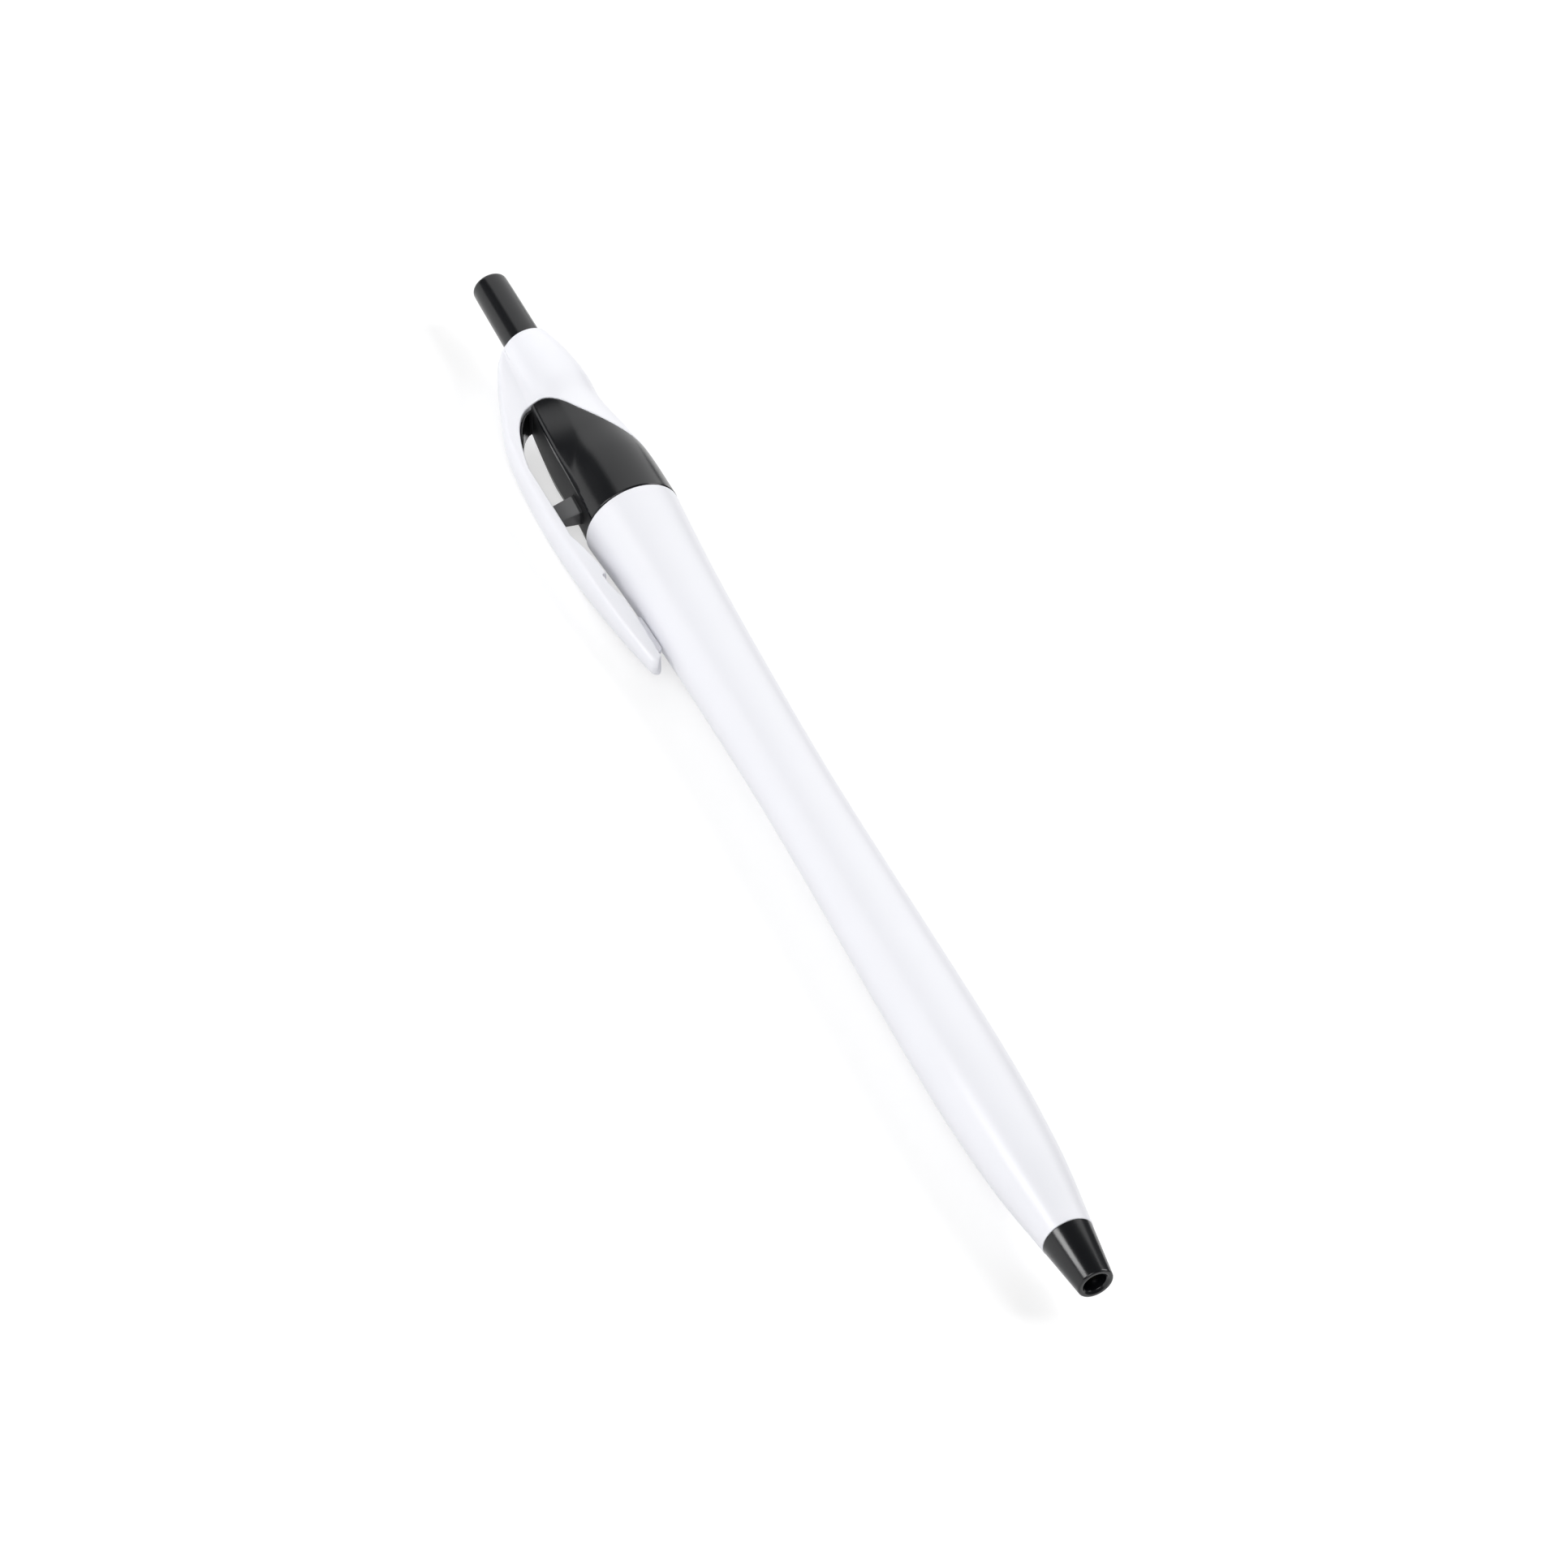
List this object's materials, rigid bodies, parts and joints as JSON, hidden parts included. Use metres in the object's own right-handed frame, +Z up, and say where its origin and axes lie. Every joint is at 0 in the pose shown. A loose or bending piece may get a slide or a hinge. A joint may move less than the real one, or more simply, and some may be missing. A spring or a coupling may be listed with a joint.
{
  "type": "ballpoint pen",
  "caption": "Slim retractable ballpoint pen with a push button, one-piece cap and pocket clip, collar showing under the clip, waisted barrel and short nose cone",
  "frame": {"origin": "the centre of the bounding box in X and Y, at the lowest point of the pen lying on its side", "axes": "+X runs along the pen from the push button to the nose, +Z is up from the table, and the clip lies towards -Y and a little down, so that it and the collar touch the table"},
  "size_m": [0.1404, 0.0132, 0.0102],
  "materials": {
    "white_plastic": "glossy moulded white",
    "black_plastic": "glossy moulded black",
    "natural_plastic": "uncoloured, satin",
    "refill_plastic": "uncoloured, translucent",
    "ink": "dark paste ink",
    "grease": "clear grease",
    "brass": "turned",
    "steel": "drawn wire, polished ball"
  },
  "bodies": {
    "pen_body": {"clip_cap": "white_plastic", "collar": "black_plastic", "barrel": "white_plastic", "nose_cone": "black_plastic", "return_spring": "steel"},
    "button": {"push_button": "black_plastic"},
    "rotor": {"indexing_rotor": "natural_plastic"},
    "refill": {"refill_tube": "refill_plastic", "ink": "ink", "grease_follower": "grease", "point_socket": "refill_plastic", "writing_point": "brass", "point_ball": "steel"}
  },
  "joints": [
    {"name": "button_slide", "type": "slide", "parent": "pen_body", "child": "button", "axis": [1, 0, 0], "range_m": [0, 0.006], "stiffness_N_per_m": 250, "springref_m": -0.004},
    {"name": "rotor_slide", "type": "slide", "parent": "pen_body", "child": "rotor", "axis": [1, 0, 0], "range_m": [0, 0.006]},
    {"name": "refill_slide", "type": "slide", "parent": "pen_body", "child": "refill", "axis": [1, 0, 0], "range_m": [0, 0.006], "deforming": ["return_spring"]}
  ],
  "couplings": [
    {"joint": "rotor_slide", "follows": "button_slide", "ratio": 1},
    {"joint": "refill_slide", "follows": "button_slide", "ratio": 1}
  ]
}
